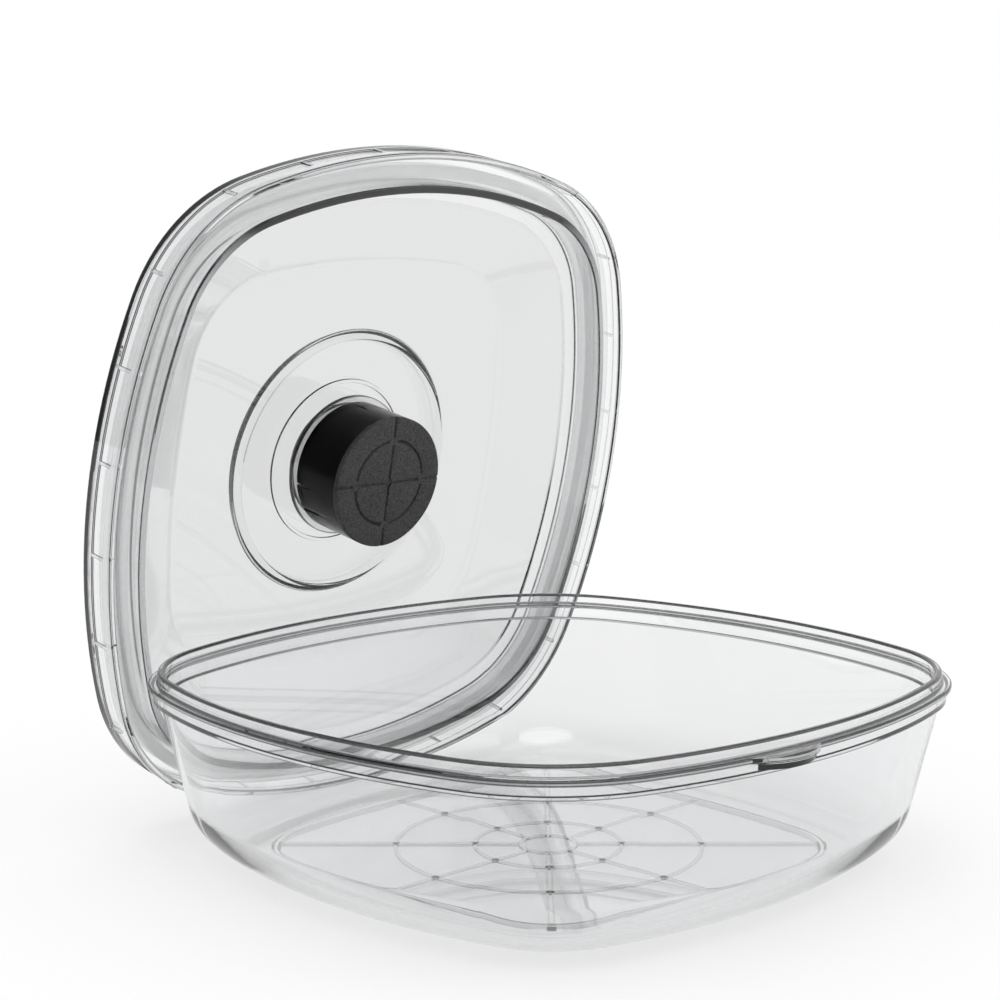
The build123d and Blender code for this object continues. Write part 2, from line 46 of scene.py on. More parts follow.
eye = Vector((-0.5486, -0.53736, 0.23552))
yaw, pitch, roll = math.radians(44.30), math.radians(8.18), math.radians(-0.21)
sensor_width, lens_length, view_depth = 36.0, 80.64, 50.0
ahead = Vector((math.sin(yaw) * math.cos(pitch), math.cos(yaw) * math.cos(pitch), -math.sin(pitch)))
level_right = Vector((math.cos(yaw), -math.sin(yaw), 0))
level_up = level_right.cross(ahead)
view_right = level_right * math.cos(roll) + level_up * math.sin(roll)
view_up = level_up * math.cos(roll) - level_right * math.sin(roll)
camera_data = bpy.data.cameras.new("photo_camera")
camera_data.sensor_width = sensor_width
camera_data.lens = lens_length
camera_data.clip_end = view_depth
camera = bpy.data.objects.new("photo_camera", camera_data)
scene.collection.objects.link(camera)
camera.matrix_world = Matrix((
    (view_right.x, view_up.x, -ahead.x, eye.x),
    (view_right.y, view_up.y, -ahead.y, eye.y),
    (view_right.z, view_up.z, -ahead.z, eye.z),
    (0, 0, 0, 1),
))
scene.camera = camera


def new_material(name):
    material = bpy.data.materials.new(name)
    material.use_nodes = True
    return material, material.node_tree, material.node_tree.nodes["Principled BSDF"]


def feed(tree, socket, source):
    """Links another node's output to a socket, or sets the socket to a plain value."""
    if isinstance(source, bpy.types.NodeSocket):
        tree.links.new(source, socket)
    else:
        socket.default_value = source


def worked_out(tree, operation, first, second):
    node = tree.nodes.new("ShaderNodeMath")
    node.operation = operation
    feed(tree, node.inputs[0], first)
    feed(tree, node.inputs[1], second)
    return node.outputs[0]


def mixed(tree, kind, factor, first, second):
    node = tree.nodes.new("ShaderNodeMix")
    node.data_type = kind
    for label, source in (("Factor", factor), ("A", first), ("B", second)):
        feed(tree, node.inputs[label], source)
    return node.outputs["Result"]


def spread_out(tree, value, span, ends, curve="LINEAR"):
    """Spreads a value that runs over one span to run between two ends."""
    node = tree.nodes.new("ShaderNodeMapRange")
    node.interpolation_type = curve
    labels = ("Value", "From Min", "From Max", "To Min", "To Max")
    for label, source in zip(labels, (value, *span, *ends)):
        feed(tree, node.inputs[label], source)
    return node.outputs["Result"]


def seen_directly(tree):
    """One for rays that look at the room or the table, straight or by way of gloss or clear plastic."""
    path = tree.nodes.new("ShaderNodeLightPath")
    not_through = worked_out(tree, "MAXIMUM", path.outputs["Is Camera Ray"], path.outputs["Is Glossy Ray"])
    return worked_out(tree, "MAXIMUM", not_through, path.outputs["Is Transmission Ray"])


ambient_strength = 0.74
horizon_white, ceiling_grey, dim_room, bright_room = 1.0, 0.42, 0.06, 1.0
horizon_top, ceiling_foot = 0.3, 0.85
bright_way, dim_end, bright_end = (0.9, 0.35, 0.25), -0.6, 0.5
world = bpy.data.worlds.new("studio")
world.use_nodes = True
scene.world = world
room = world.node_tree
background = room.nodes["Background"]
background.inputs["Color"].default_value = (1.0, 1.0, 1.0, 1.0)
sky_way = room.nodes.new("ShaderNodeTexCoord").outputs["Generated"]
sky_parts = room.nodes.new("ShaderNodeSeparateXYZ")
room.links.new(sky_way, sky_parts.inputs[0])
up_shade = spread_out(room, sky_parts.outputs["Z"], (horizon_top, ceiling_foot),
                      (horizon_white, ceiling_grey), "SMOOTHSTEP")
towards_bright = room.nodes.new("ShaderNodeVectorMath")
towards_bright.operation = "DOT_PRODUCT"
towards_bright.inputs[1].default_value = bright_way
room.links.new(sky_way, towards_bright.inputs[0])
side_shade = spread_out(room, towards_bright.outputs["Value"], (dim_end, bright_end),
                        (dim_room, bright_room), "SMOOTHSTEP")
gloss_ray = room.nodes.new("ShaderNodeLightPath").outputs["Is Glossy Ray"]
gloss_shade = mixed(room, "FLOAT", gloss_ray, bright_room, side_shade)
room_shade = worked_out(room, "MULTIPLY", up_shade, gloss_shade)
room.links.new(mixed(room, "FLOAT", seen_directly(room), ambient_strength, room_shade),
               background.inputs["Strength"])

table_reach, table_glow = 40.0, 0.66
table_lit, table_seen = (0.93, 0.93, 0.93, 1.0), (0.33, 0.33, 0.33, 1.0)
table_corners = [(x * table_reach, y * table_reach, 0) for x, y in ((-1, -1), (1, -1), (1, 1), (-1, 1))]
table_mesh = bpy.data.meshes.new("table")
table_mesh.from_pydata(table_corners, [], [(0, 1, 2, 3)])
table = bpy.data.objects.new("table", table_mesh)
scene.collection.objects.link(table)
table_white, tree, shader = new_material("table_white")
seen = seen_directly(tree)
shader.inputs["Roughness"].default_value = 0.9
shader.inputs["Specular IOR Level"].default_value = 0.0
shader.inputs["Emission Color"].default_value = (1.0, 1.0, 1.0, 1.0)
tree.links.new(mixed(tree, "RGBA", seen, table_lit, table_seen), shader.inputs["Base Color"])
tree.links.new(worked_out(tree, "MULTIPLY", seen, table_glow), shader.inputs["Emission Strength"])
table_mesh.materials.append(table_white)

for name, way, level, spread_deg in (
    ("key_sun", (-0.3, -0.3, 1.0), 0.6, 40),
    ("fill_sun", (0.6, -0.5, 0.7), 0.3, 40),
    ("top_sun", (0.05, 0.1, 1.0), 0.3, 50),
):
    lamp = bpy.data.lights.new(name, "SUN")
    lamp.energy = level
    lamp.angle = math.radians(spread_deg)
    holder = bpy.data.objects.new(name, lamp)
    scene.collection.objects.link(holder)
    holder.rotation_euler = (-Vector(way)).to_track_quat("-Z", "Y").to_euler()

# Bowl: one clear copolyester moulding, about 3 mm thick, with bulging sides, a banded flange with a
# thumb tab, and an upright lip that the lid's gasket seals on. Ribs under its base stiffen it.
# Its faces are polished, with a faint haze from handling. Painted shade: its edges and ribs are painted grey,
# and its lip's rounds, tab grips and corner pads dark grey or black.
haze_scale, haze_smear, haze_lift, haze_strength = 22.0, 0.4, 0.00004, 0.25
haze_span, haze_detail, haze_breakup = (0.42, 0.72), 4.0, 0.5
plastic_index = 1.53


def effect_group(name, inputs, outputs):
    """A node group for an effect that several materials share, with its named sockets."""
    group = bpy.data.node_groups.new(name, "ShaderNodeTree")
    for way, sockets in (("INPUT", inputs), ("OUTPUT", outputs)):
        for label, kind in sockets:
            group.interface.new_socket(label, in_out=way, socket_type="NodeSocket" + kind)
    return group, group.nodes.new("NodeGroupInput").outputs, group.nodes.new("NodeGroupOutput").inputs


def cloud_noise(tree, scale, detail, breakup):
    place = tree.nodes.new("ShaderNodeTexCoord")
    noise = tree.nodes.new("ShaderNodeTexNoise")
    tree.links.new(place.outputs["Object"], noise.inputs["Vector"])
    feed(tree, noise.inputs["Scale"], scale)
    noise.inputs["Detail"].default_value = detail
    noise.inputs["Roughness"].default_value = breakup
    return noise.outputs["Fac"]


haze_group, given, made = effect_group(
    "handling_haze",
    [("Scale", "Float"), ("Polish", "Float"), ("Haze", "Float"), ("Smear", "Float")],
    [("Roughness", "Float"), ("Height", "Float")],
)
cloud = cloud_noise(haze_group, given["Scale"], haze_detail, haze_breakup)
haze_roughness = spread_out(haze_group, cloud, haze_span, (given["Polish"], given["Haze"]))
haze_group.links.new(haze_roughness, made["Roughness"])
haze_group.links.new(worked_out(haze_group, "MULTIPLY", cloud, given["Smear"]), made["Height"])


def add_effect(tree, shader, group, values, strength, lift):
    """Places a shared effect in a material: its roughness and bump, and its colour where it has one."""
    node = tree.nodes.new("ShaderNodeGroup")
    node.node_tree = group
    for label, value in values.items():
        node.inputs[label].default_value = value
    bump = tree.nodes.new("ShaderNodeBump")
    bump.inputs["Strength"].default_value = strength
    bump.inputs["Distance"].default_value = lift
    tree.links.new(node.outputs["Height"], bump.inputs["Height"])
    tree.links.new(bump.outputs["Normal"], shader.inputs["Normal"])
    tree.links.new(node.outputs["Roughness"], shader.inputs["Roughness"])
    if "Colour" in node.outputs:
        tree.links.new(node.outputs["Colour"], shader.inputs["Base Color"])


def add_haze(tree, shader, polish, haze):
    values = {"Scale": haze_scale, "Polish": polish, "Haze": haze, "Smear": haze_smear}
    add_effect(tree, shader, haze_group, values, haze_strength, haze_lift)


def clear_material(name, tint, polish, haze, depth_tint, depth_density):
    """A refracting plastic that turns grey where light runs a long way inside it."""
    material, tree, shader = new_material(name)
    shader.inputs["Base Color"].default_value = tint
    shader.inputs["Transmission Weight"].default_value = 1.0
    shader.inputs["IOR"].default_value = plastic_index
    add_haze(tree, shader, polish, haze)
    depth = tree.nodes.new("ShaderNodeVolumeAbsorption")
    depth.inputs["Color"].default_value = depth_tint
    depth.inputs["Density"].default_value = depth_density
    tree.links.new(depth.outputs["Volume"], tree.nodes["Material Output"].inputs["Volume"])
    return material


clear_plastic = clear_material(
    "clear_plastic", tint=(0.985, 0.99, 0.99, 1), polish=0.012, haze=0.03,
    depth_tint=(0.66, 0.68, 0.69, 1), depth_density=34.0)
tree = clear_plastic.node_tree
# The base colour is read from the pieces' corner colours: the plastic's own tint, and painted grey and black
# shade at edges, ribs and the lid's plug end.
tint_and_painted_shade = tree.nodes.new("ShaderNodeAttribute")
tint_and_painted_shade.attribute_name = "tint_and_painted_shade"
tree.links.new(tint_and_painted_shade.outputs["Color"], tree.nodes["Principled BSDF"].inputs["Base Color"])
# Face marks: the wall mark keeps the plastic's tint and the clear mark a lighter tint; the grey, dark, pale,
# band and black marks are painted shade.
wall_face, painted_grey_face, painted_dark_face, painted_pale_face, painted_band_face, clear_face, painted_black_face = range(7)
tints_and_painted_shades = {
    painted_grey_face: (0.36, 0.365, 0.37, 1),
    painted_dark_face: (0.022, 0.022, 0.023, 1),
    painted_pale_face: (0.7, 0.705, 0.71, 1),
    clear_face: (0.97, 0.972, 0.975, 1),
    painted_black_face: (0.001, 0.001, 0.001, 1),
}
face_marks = [bpy.data.materials.new("face_mark_" + str(number)) for number in range(painted_black_face + 1)]

mm = 0.001
bowl_shift = (-3.8, -2.9868, 0.0)
bowl_half, side_radius, corner_radius = 125.0, 240.0, 62.5
side_steps, corner_steps, ring_steps = 12, 18, 96
arc_step, setback_share = 2.2, 0.48


def outline(half, side, corner):
    """Points of eight tangent arcs, and the way out at each, from the middle of the +X side."""
    offset = half - side
    centre = (offset + math.sqrt(2 * (side - corner) ** 2 - offset ** 2)) / 2
    turn = math.atan2(centre, centre - offset)
    points, ways = [], []
    for quarter in range(4):
        spin = quarter * math.pi / 2
        c, s = math.cos(spin), math.sin(spin)
        for middle, radius, start, end, steps in (
            ((offset, 0), side, 0, turn, side_steps),
            ((centre, centre), corner, turn, math.pi / 2 - turn, corner_steps),
            ((0, offset), side, math.pi / 2 - turn, math.pi / 2, side_steps),
        ):
            for step in range(steps):
                angle = start + (end - start) * step / steps
                x, y = middle[0] + radius * math.cos(angle), middle[1] + radius * math.sin(angle)
                points.append((x * c - y * s, x * s + y * c))
                ways.append((math.cos(angle + spin), math.sin(angle + spin)))
    return np.array(points), np.array(ways)


rim_points, rim_ways = outline(bowl_half, side_radius, corner_radius)


def parallel_ring(half):
    return rim_points + rim_ways * (half - bowl_half)


def rounded_path(corners, steps=5):
    """A section with rounded corners, as half widths, heights and the mark of the face after each.

    A corner has a half width, a height and a radius, then the marks of its round and of the face after it.
    """
    path = []
    for number, corner in enumerate(corners):
        x, z, radius, round_mark, face_mark = (tuple(corner) + (wall_face, wall_face))[:5]
        here = Vector((x, z))
        if radius == 0 or number in (0, len(corners) - 1):
            path.append((x, z, face_mark))
            continue
        before = Vector(corners[number - 1][:2]) - here
        after = Vector(corners[number + 1][:2]) - here
        half_angle = before.angle(after) / 2
        longest_setback = setback_share * min(before.length, after.length)
        setback = min(radius / math.tan(half_angle), longest_setback)
        radius = setback * math.tan(half_angle)
        start, end = here + before.normalized() * setback, here + after.normalized() * setback
        inwards = before.normalized() + after.normalized()
        middle = here + inwards.normalized() * (radius / math.sin(half_angle))
        first = math.atan2(start.y - middle.y, start.x - middle.x)
        last = math.atan2(end.y - middle.y, end.x - middle.x)
        sweep = (last - first + math.pi) % (2 * math.pi) - math.pi
        count = max(steps, int(abs(sweep) * radius / arc_step))
        for step in range(count + 1):
            angle = first + sweep * step / count
            mark = face_mark if step == count else round_mark
            path.append((middle.x + radius * math.cos(angle), middle.y + radius * math.sin(angle), mark))
    return path


def object_from(mesh, name):
    """Makes a piece of a mesh, with a place for every face mark, so that a merge keeps them apart."""
    bmesh.ops.recalc_face_normals(mesh, faces=mesh.faces)
    data = bpy.data.meshes.new(name)
    mesh.to_mesh(data)
    mesh.free()
    for material in face_marks:
        data.materials.append(material)
    piece = bpy.data.objects.new(name, data)
    scene.collection.objects.link(piece)
    return piece


def shell_mesh(name, path, ring_at, closed):
    """Skins a section round the plan. An open section starts and ends on the middle line."""
    mesh = bmesh.new()
    rings = []
    for half, height, mark in path:
        if half == 0:
            rings.append([mesh.verts.new((0, 0, height * mm))])
        else:
            rings.append([mesh.verts.new((x * mm, y * mm, height * mm)) for x, y in ring_at(half)])
    pairs = list(zip(rings, rings[1:])) + ([(rings[-1], rings[0])] if closed else [])
    for (lower, upper), (_, _, mark) in zip(pairs, path):
        count = max(len(lower), len(upper))
        for i in range(count):
            j = (i + 1) % count
            below = (lower[i % len(lower)], lower[j % len(lower)])
            above = (upper[j % len(upper)], upper[i % len(upper)])
            mesh.faces.new(list(dict.fromkeys(below + above))).material_index = mark
    return object_from(mesh, name)


def add_block(mesh, low, high):
    """A box between two corners, in mm."""
    for vert in bmesh.ops.create_cube(mesh, size=1.0)["verts"]:
        vert.co = Vector([(low[k] + high[k]) / 2 + vert.co[k] * (high[k] - low[k]) for k in range(3)]) * mm


def add_tube(mesh, outer, inner, low, high, count=ring_steps, offset=0.0):
    """A ring or a disc between two heights, in mm, that may stand off the middle line along X."""
    levels = [(outer, low), (outer, high)]
    if inner:
        levels = [(inner, low), *levels, (inner, high)]
    loops = []
    for radius, height in levels:
        loops.append([mesh.verts.new((
            (offset + radius * math.cos(2 * math.pi * i / count)) * mm,
            radius * math.sin(2 * math.pi * i / count) * mm,
            height * mm)) for i in range(count)])
    around = list(zip(loops, loops[1:] + loops[:1])) if inner else [(loops[0], loops[1])]
    for lower, upper in around:
        for i in range(count):
            j = (i + 1) % count
            mesh.faces.new((lower[i], lower[j], upper[j], upper[i]))
    if not inner:
        mesh.faces.new(list(reversed(loops[0])))
        mesh.faces.new(loops[1])


def turned_copies_tree():
    """Geometry nodes: copies of one piece, turned evenly about the middle line."""
    tree = bpy.data.node_groups.new("turned_copies", "GeometryNodeTree")
    for label, kind in (
        ("Geometry", "Geometry"), ("Count", "Int"), ("First Turn", "Float"), ("Material", "Material"),
    ):
        tree.interface.new_socket(label, in_out="INPUT", socket_type="NodeSocket" + kind)
    tree.interface.new_socket("Geometry", in_out="OUTPUT", socket_type="NodeSocketGeometry")
    nodes, links = tree.nodes, tree.links
    entry, leave = nodes.new("NodeGroupInput"), nodes.new("NodeGroupOutput")
    points = nodes.new("GeometryNodePoints")
    links.new(entry.outputs["Count"], points.inputs["Count"])
    number = nodes.new("GeometryNodeInputIndex")
    full_turns = worked_out(tree, "DIVIDE", number.outputs["Index"], entry.outputs["Count"])
    even_turn = worked_out(tree, "MULTIPLY", full_turns, 2 * math.pi)
    turn = worked_out(tree, "ADD", even_turn, entry.outputs["First Turn"])
    rotation = nodes.new("ShaderNodeCombineXYZ")
    links.new(turn, rotation.inputs["Z"])
    copies = nodes.new("GeometryNodeInstanceOnPoints")
    links.new(points.outputs[0], copies.inputs["Points"])
    links.new(entry.outputs["Geometry"], copies.inputs["Instance"])
    links.new(rotation.outputs[0], copies.inputs["Rotation"])
    solid = nodes.new("GeometryNodeRealizeInstances")
    links.new(copies.outputs[0], solid.inputs[0])
    finish = nodes.new("GeometryNodeSetMaterial")
    links.new(solid.outputs[0], finish.inputs["Geometry"])
    links.new(entry.outputs["Material"], finish.inputs["Material"])
    links.new(finish.outputs[0], leave.inputs[0])
    return tree


turned_copies = turned_copies_tree()
socket_of = {
    item.name: item.identifier
    for item in turned_copies.interface.items_tree if item.in_out == "INPUT"
}


def keep_result(piece, modifier):
    """Makes a modifier's result the piece's own mesh."""
    bpy.context.view_layer.update()
    evaluated = piece.evaluated_get(bpy.context.evaluated_depsgraph_get())
    result = bpy.data.meshes.new_from_object(evaluated)
    piece.modifiers.remove(modifier)
    piece.data = result


def repeat_round(mesh, name, count, first_turn=0.0):
    """Turns a mesh into a piece with even copies of it about the middle line."""
    piece = object_from(mesh, name)
    modifier = piece.modifiers.new("turned_copies", "NODES")
    modifier.node_group = turned_copies
    modifier[socket_of["Count"]] = count
    modifier[socket_of["First Turn"]] = first_turn
    modifier[socket_of["Material"]] = clear_plastic
    keep_result(piece, modifier)
    return piece


def merge_solids(piece, other, mark=painted_grey_face, operation="UNION"):
    """Joins another closed solid to a piece, or cuts it away, with its own mark on its faces."""
    other.data.materials.clear()
    for material in face_marks:
        other.data.materials.append(material)
    for face in other.data.polygons:
        face.material_index = mark
    modifier = piece.modifiers.new("merge", "BOOLEAN")
    modifier.operation = operation
    modifier.solver = "EXACT"
    modifier.object = other
    keep_result(piece, modifier)
    bpy.data.objects.remove(other)


def paint_tint_and_shade(piece, tints):
    """Turns each face's mark into a tint or a painted shade on its corners, so that the whole piece has one
    material.
    """
    layer = piece.data.color_attributes.new("tint_and_painted_shade", "FLOAT_COLOR", "CORNER")
    for face in piece.data.polygons:
        for corner in face.loop_indices:
            layer.data[corner].color = tints[face.material_index]
    return layer


def finish_piece(piece, material, place, body, nodes, sharp_deg=38.0):
    """Smooths a piece up to its sharp edges, puts it where it belongs, and hands it over."""
    piece.data.transform(place)
    piece.data.materials.clear()
    piece.data.materials.append(material)
    for face in piece.data.polygons:
        face.use_smooth = True
        face.material_index = 0
    piece.data.set_sharp_from_angle(angle=math.radians(sharp_deg))
    flats_first = piece.modifiers.new("flats_first", "WEIGHTED_NORMAL")
    flats_first.keep_sharp = True
    flats_first.weight = 60
    keep_result(piece, flats_first)
    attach(piece, body)
    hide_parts(*nodes)


bowl_wall, draft_angle = 3.0, math.radians(13.7)
foot_half, foot_round, inner_foot_round = 107.7, 26.0, 23.0
floor_low, floor_ring_halves, ring_slack = 2.2, (20, 45, 70), 0.01
flange_top, flange_thickness, band_inset, band_height = 64.1, 1.8, 1.7, 4.7
lip_inset, lip_thickness, lip_height, ledge_drop = 3.3, 2.5, 3.9, 5.8
band_round, edge_round, flange_round, lip_round = 0.5, 0.6, 0.7, 0.9
floor_top = floor_low + bowl_wall
flange_low = flange_top - flange_thickness
band_half, band_low = bowl_half - band_inset, flange_low - band_height
lip_outer, lip_top = bowl_half - lip_inset, flange_top + lip_height
lip_inner, ledge_top = lip_outer - lip_thickness, flange_top - ledge_drop
wall_across = bowl_wall / math.cos(draft_angle)
floor_edge = foot_half - foot_round * math.tan((math.pi / 2 - draft_angle) / 2)


def wall_at(height, inside=0.0):
    return foot_half + (height - floor_low) * math.tan(draft_angle) - inside


def bowl_ring(half):
    """The bowl's own plan down to the floor's edge, and the same shape drawn in on the floor."""
    if half >= floor_edge - ring_slack:
        return parallel_ring(half)
    return parallel_ring(floor_edge) * (half / floor_edge)


# The lip's and flange's rounds are painted dark grey and the band's edges grey, as painted shade.
bowl_path = rounded_path([
    *((half, floor_low, 0) for half in (0, *floor_ring_halves)),
    (foot_half, floor_low, foot_round),
    (wall_at(band_low), band_low, band_round, painted_grey_face),
    (band_half, band_low, edge_round, painted_grey_face),
    (band_half, flange_low, band_round, painted_grey_face),
    (bowl_half, flange_low, edge_round, painted_dark_face, painted_grey_face),
    (bowl_half, flange_top, flange_round, painted_dark_face),
    (lip_outer, flange_top, edge_round, painted_grey_face),
    (lip_outer, lip_top, lip_round, painted_dark_face, painted_grey_face),
    (lip_inner, lip_top, lip_round, painted_dark_face),
    (lip_inner, ledge_top, edge_round, painted_grey_face),
    (wall_at(ledge_top, wall_across), ledge_top, edge_round, painted_grey_face),
    (wall_at(floor_top, wall_across), floor_top, inner_foot_round),
    *((half, floor_top, 0) for half in (*reversed(floor_ring_halves), 0)),
])
bowl_piece = shell_mesh("bowl_moulding", bowl_path, bowl_ring, closed=False)

outer_circles, inner_circle = (54.1, 27.3), 10.8
base_rib_width, base_rib_depth, rib_root = 1.2, 0.9, 0.5
stand_half, stand_width, stand_round = 80.5, 1.8, 0.4
stand_side_radius, stand_corner_radius = 330.0, 30.0
spoke_count, twin_rib_inner, twin_rib_outer, twin_rib_stop = 4, 0.5, 1.2, 2.0
stud_radius, stud_steps, stud_count = 1.5, 20, 8
pad_width, pad_overhang = 3.0, 0.6
rib_low, rib_top = floor_low - base_rib_depth, floor_low + rib_root
spoke_start, spoke_end = inner_circle - base_rib_width / 2, stand_half - stand_width / 2
stand_offset = stand_half - stand_side_radius
stand_reach = stand_side_radius - stand_corner_radius
stand_corner = (stand_offset + math.sqrt(2 * stand_reach ** 2 - stand_offset ** 2)) / 2
stand_diagonal = stand_corner * math.sqrt(2) + stand_corner_radius
diagonal = math.pi / 4

# The base's circles, spokes and standing rib are painted pale grey, as painted shade.
base_mesh = bmesh.new()
for radius in (*outer_circles, inner_circle):
    add_tube(base_mesh, radius, radius - base_rib_width, rib_low, rib_top)
merge_solids(bowl_piece, object_from(base_mesh, "base_circles"), painted_pale_face)

spoke_mesh = bmesh.new()
add_block(spoke_mesh, (spoke_start, -base_rib_width / 2, rib_low), (spoke_end, base_rib_width / 2, rib_top))
merge_solids(bowl_piece, repeat_round(spoke_mesh, "straight_spokes", spoke_count), painted_pale_face)
spoke_mesh = bmesh.new()
for low, high in ((-twin_rib_outer, -twin_rib_inner), (twin_rib_inner, twin_rib_outer)):
    add_block(spoke_mesh, (spoke_start, low, rib_low), (stand_diagonal - twin_rib_stop, high, rib_top))
merge_solids(bowl_piece, repeat_round(spoke_mesh, "corner_spokes", spoke_count, diagonal), painted_pale_face)

# The corner pads are painted black, as painted shade.
pad_mesh = bmesh.new()
pad_end = stand_diagonal + pad_overhang
add_block(pad_mesh, (pad_end - pad_width, -pad_width / 2, 0.0), (pad_end, pad_width / 2, rib_top))
merge_solids(bowl_piece, repeat_round(pad_mesh, "corner_pads", spoke_count, diagonal), painted_black_face)
stud_mesh = bmesh.new()
for radius in outer_circles:
    add_tube(stud_mesh, stud_radius, 0, rib_low, rib_top, stud_steps, radius - base_rib_width / 2)
merge_solids(bowl_piece, repeat_round(stud_mesh, "base_studs", stud_count))

stand_points, stand_ways = outline(stand_half, stand_side_radius, stand_corner_radius)
stand_path = rounded_path([
    (stand_half - stand_width, rib_top, 0), (stand_half, rib_top, 0),
    (stand_half, 0.0, stand_round), (stand_half - stand_width, 0.0, stand_round),
    (stand_half - stand_width, rib_top, 0),
])[:-1]
standing_rib = shell_mesh("standing_rib", stand_path,
                          lambda half: stand_points + stand_ways * (half - stand_half), closed=True)
merge_solids(bowl_piece, standing_rib, painted_pale_face)

tab_centre_x, tab_half, tab_reach, tab_root_depth, tab_drop, tab_steps = -21.5, 16.5, 5.4, 2.5, 0.05, 32
grip_count, grip_gap, grip_width, grip_depth, grip_root, grip_steps = 2, 1.2, 1.3, 2.1, 0.3, 20
flange_y = -(bowl_half - side_radius + math.sqrt(side_radius ** 2 - tab_centre_x ** 2))
tab_root = flange_y + tab_root_depth
tab_chord = tab_root - (flange_y - tab_reach)
tab_radius = (tab_half ** 2 + tab_chord ** 2) / (2 * tab_chord)
tab_centre_y = flange_y - tab_reach + tab_radius


def tab_arc(mesh, radius, span, height, steps):
    """Adds the points of an arc that bulges to the front, round the tab's own centre."""
    angles = [-span + 2 * span * i / steps for i in range(steps + 1)]
    return [mesh.verts.new(((tab_centre_x + radius * math.sin(angle)) * mm,
                            (tab_centre_y - radius * math.cos(angle)) * mm, height * mm)) for angle in angles]


tab_mesh = bmesh.new()
tab_span = math.asin(tab_half / tab_radius)
low_loop, high_loop = (tab_arc(tab_mesh, tab_radius, tab_span, height, tab_steps)
                       for height in (flange_low, flange_top - tab_drop))
for i in range(len(low_loop)):
    j = (i + 1) % len(low_loop)
    tab_mesh.faces.new((low_loop[i], low_loop[j], high_loop[j], high_loop[i]))
tab_mesh.faces.new(list(reversed(low_loop)))
tab_mesh.faces.new(high_loop)
merge_solids(bowl_piece, object_from(tab_mesh, "thumb_tab"))

# The tab's grip ribs are painted black, as painted shade.
grip_mesh = bmesh.new()
grip_low, grip_top = flange_low - grip_depth, flange_low + grip_root
for number in range(grip_count):
    outer = tab_radius - grip_gap - number * (grip_gap + grip_width)
    inner = outer - grip_width
    root_share = min(1.0, (tab_centre_y - tab_root) / inner)
    rows = [tab_arc(grip_mesh, radius, math.acos(root_share), height, grip_steps) for radius, height in
            ((inner, grip_low), (outer, grip_low), (outer, grip_top), (inner, grip_top))]
    for near, far in zip(rows, rows[1:] + rows[:1]):
        for i in range(grip_steps):
            grip_mesh.faces.new((near[i], near[i + 1], far[i + 1], far[i]))
    grip_mesh.faces.new([row[0] for row in rows])
    grip_mesh.faces.new([row[-1] for row in reversed(rows)])
merge_solids(bowl_piece, object_from(grip_mesh, "tab_grip_ribs"), painted_black_face)
paint_tint_and_shade(bowl_piece, {**tints_and_painted_shades, wall_face: (0.965, 0.967, 0.97, 1)})
bowl_place = Matrix.Translation(Vector(bowl_shift) * mm)
finish_piece(bowl_piece, clear_plastic, bowl_place, "bowl", ["bowl"])

# Lid: one clear moulding, set off the bowl and leaning on its back edge. A skirt with small grip
# ribs and a plug wall leave a channel for the gasket. A soft shoulder rises from them to the panel,
# and a round plateau carries the boss that the pump's barrel snaps on.
lean, lid_x, lid_y = math.radians(11.1), 8.0, 91.779
lid_wall, skirt_gap, skirt_wall = 3.0, 0.4, 2.5
plate_top, plug_outer, plug_wall, plug_reach = 16.5, 112.8, 2.9, 0.7
grip_band_depth, grip_band_low, grip_band_top = 0.7, 4.4, 10.9
dome_foot, shoulder_foot, shoulder_middle, shoulder_middle_top = 110.6, 104.6, 92, 22.8
panel_half, panel_top, panel_ring_half = 79.5, 29.0, 65
panel_side_radius, panel_corner_radius = 330.0, 38.0
plateau_radius, plateau_top, well_radius, well_middle = 51.5, 33.7, 14.4, 31.5
ceiling_ring_radius, ceiling_ring_width, ceiling_ring_depth = 31.0, 1.4, 0.8
boss_outer, boss_wall, boss_depth = 23.2, 2.6, 4.0
boss_flange, boss_flange_top, boss_flange_thickness = 27.5, 25.8, 2.0
channel_round, skirt_top_round, shoulder_round, panel_round, ceiling_round = 1.0, 1.2, 3.0, 6.0, 2.0
plateau_round, plateau_foot_round, hollow_round, ring_round = 1.8, 1.5, 1.4, 0.35
grip_round, boss_round, boss_corner_round, well_round = 0.25, 0.5, 0.3, 0.4

lid_half, lid_side_radius = bowl_half - skirt_gap, side_radius - skirt_gap
skirt_inner, grip_band_half = lid_half - skirt_wall, lid_half - grip_band_depth
plate_low, shoulder_middle_low = plate_top - lid_wall, shoulder_middle_top - lid_wall
panel_low, plateau_low = panel_top - lid_wall, plateau_top - lid_wall
plug_inner, plateau_inner = plug_outer - plug_wall, plateau_radius - lid_wall
ceiling_ring_outer = ceiling_ring_radius + ceiling_ring_width
ceiling_ring_low = plateau_low - ceiling_ring_depth
boss_inner, boss_flange_low = boss_outer - boss_wall, boss_flange_top - boss_flange_thickness
boss_end = boss_flange_low - boss_depth
lid_middle = Vector((lid_x + bowl_shift[0], lid_y + bowl_shift[1], lid_half * math.cos(lean)))
standing = Matrix.Translation(lid_middle * mm) @ Matrix.Rotation(lean - math.pi / 2, 4, "X")
panel_points = outline(panel_half, panel_side_radius, panel_corner_radius)[0]
plan_angles = np.arctan2(rim_points[:, 1], rim_points[:, 0])
round_ways = np.stack([np.cos(plan_angles), np.sin(plan_angles)], axis=1)


def lid_ring(half):
    """Round at the plateau, a rounded square at the panel, and the bowl's plan from the dome's foot out."""
    if half <= plateau_radius:
        return round_ways * half
    if half <= panel_half:
        share = (half - plateau_radius) / (panel_half - plateau_radius)
        return round_ways * plateau_radius * (1 - share) + panel_points * share
    if half <= dome_foot:
        share = (half - panel_half) / (dome_foot - panel_half)
        return panel_points * (1 - share) + parallel_ring(dome_foot) * share
    return parallel_ring(half)
